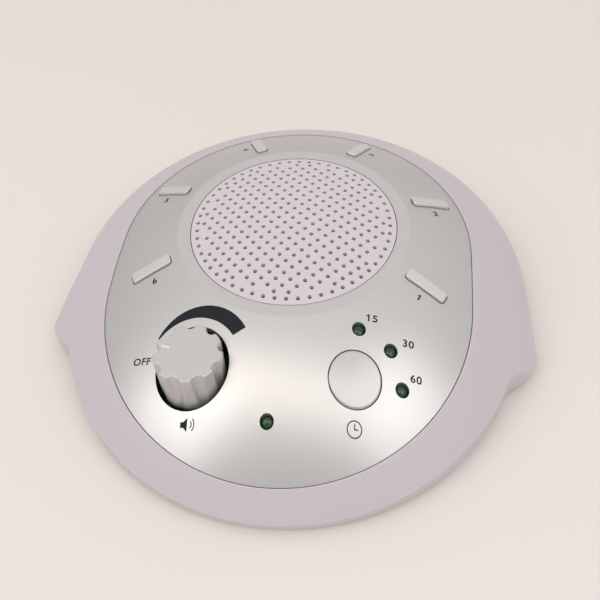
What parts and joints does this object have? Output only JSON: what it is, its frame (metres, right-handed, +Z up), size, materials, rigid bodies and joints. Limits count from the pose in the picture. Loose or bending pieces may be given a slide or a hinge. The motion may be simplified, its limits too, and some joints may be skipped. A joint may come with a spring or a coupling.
{
  "type": "white noise sound machine",
  "caption": "Tabletop sound machine: domed housing with a round perforated speaker grille, radial sound buttons, a timer button with lamps and a fluted volume knob.",
  "frame": {"origin": "middle of the bounding box at table height, under the rubber feet", "axes": "+Z up, +X to the right and +Y to the back, seen from the side with the knob and the timer button"},
  "size_m": [0.1814, 0.1872, 0.0419],
  "materials": {
    "lilac_plastic": "satin lilac-grey moulded ABS",
    "silver_paint": "fine silver metallic paint on ABS",
    "black_plastic": "matte black",
    "rubber": "matte",
    "steel": "zinc plated",
    "board": "green solder mask",
    "lamp": "clear dark green epoxy",
    "foam": "closed-cell foam",
    "cone_paper": "coated paper",
    "cell_jacket": "shrink sleeve"
  },
  "bodies": {
    "housing": {"upper_shell": "lilac_plastic", "face_panel": "silver_paint", "speaker_grille": "lilac_plastic", "base_plate": "lilac_plastic", "rubber_feet": "rubber", "housing_screws": "steel", "main_board": "board", "key_board": "board", "board_screws": "steel", "key_switches": "black_plastic", "timer_switch": "black_plastic", "volume_control": "steel", "power_lamp": "lamp", "timer_lamp_15": "lamp", "timer_lamp_30": "lamp", "timer_lamp_60": "lamp", "lamp_spacers": "black_plastic", "sound_chip": "black_plastic", "capacitors": "black_plastic", "speaker_gasket": "foam", "speaker_frame": "steel", "speaker_cone": "cone_paper", "speaker_magnet": "steel", "speaker_clips": "steel", "clip_screws": "steel", "dc_socket": "black_plastic", "socket_pin": "steel", "battery_cells": "cell_jacket", "contact_plates": "steel", "contact_springs": "steel"},
    "knob": {"volume_knob": "silver_paint", "volume_shaft": "steel"},
    "door": {"battery_door": "lilac_plastic"},
    "timer_key": {"timer_button": "silver_paint"},
    "sound_key_1": {"sound_button_1": "silver_paint"},
    "sound_key_2": {"sound_button_2": "silver_paint"},
    "sound_key_3": {"sound_button_3": "silver_paint"},
    "sound_key_4": {"sound_button_4": "silver_paint"},
    "sound_key_5": {"sound_button_5": "silver_paint"},
    "sound_key_6": {"sound_button_6": "silver_paint"}
  },
  "joints": [
    {"name": "volume_turn", "type": "hinge", "parent": "housing", "child": "knob", "pos_m": [-0.0264, -0.05331, 0.03], "axis": [0, 0, 1], "range_deg": [-300, 0]},
    {"name": "door_swing", "type": "hinge", "parent": "housing", "child": "door", "pos_m": [0, -0.02376, 0.0015], "axis": [-1, 0, 0], "range_deg": [0, 75]},
    {"name": "timer_press", "type": "slide", "parent": "housing", "child": "timer_key", "axis": [0, 0, -1], "range_m": [0, 0.0006], "stiffness_N_per_m": 1200, "springref_m": -0.0006},
    {"name": "sound_press_1", "type": "slide", "parent": "housing", "child": "sound_key_1", "axis": [0, 0, -1], "range_m": [0, 0.0006], "stiffness_N_per_m": 1200, "springref_m": -0.0006},
    {"name": "sound_press_2", "type": "slide", "parent": "housing", "child": "sound_key_2", "axis": [0, 0, -1], "range_m": [0, 0.0006], "stiffness_N_per_m": 1200, "springref_m": -0.0006},
    {"name": "sound_press_3", "type": "slide", "parent": "housing", "child": "sound_key_3", "axis": [0, 0, -1], "range_m": [0, 0.0006], "stiffness_N_per_m": 1200, "springref_m": -0.0006},
    {"name": "sound_press_4", "type": "slide", "parent": "housing", "child": "sound_key_4", "axis": [0, 0, -1], "range_m": [0, 0.0006], "stiffness_N_per_m": 1200, "springref_m": -0.0006},
    {"name": "sound_press_5", "type": "slide", "parent": "housing", "child": "sound_key_5", "axis": [0, 0, -1], "range_m": [0, 0.0006], "stiffness_N_per_m": 1200, "springref_m": -0.0006},
    {"name": "sound_press_6", "type": "slide", "parent": "housing", "child": "sound_key_6", "axis": [0, 0, -1], "range_m": [0, 0.0006], "stiffness_N_per_m": 1200, "springref_m": -0.0006}
  ]
}
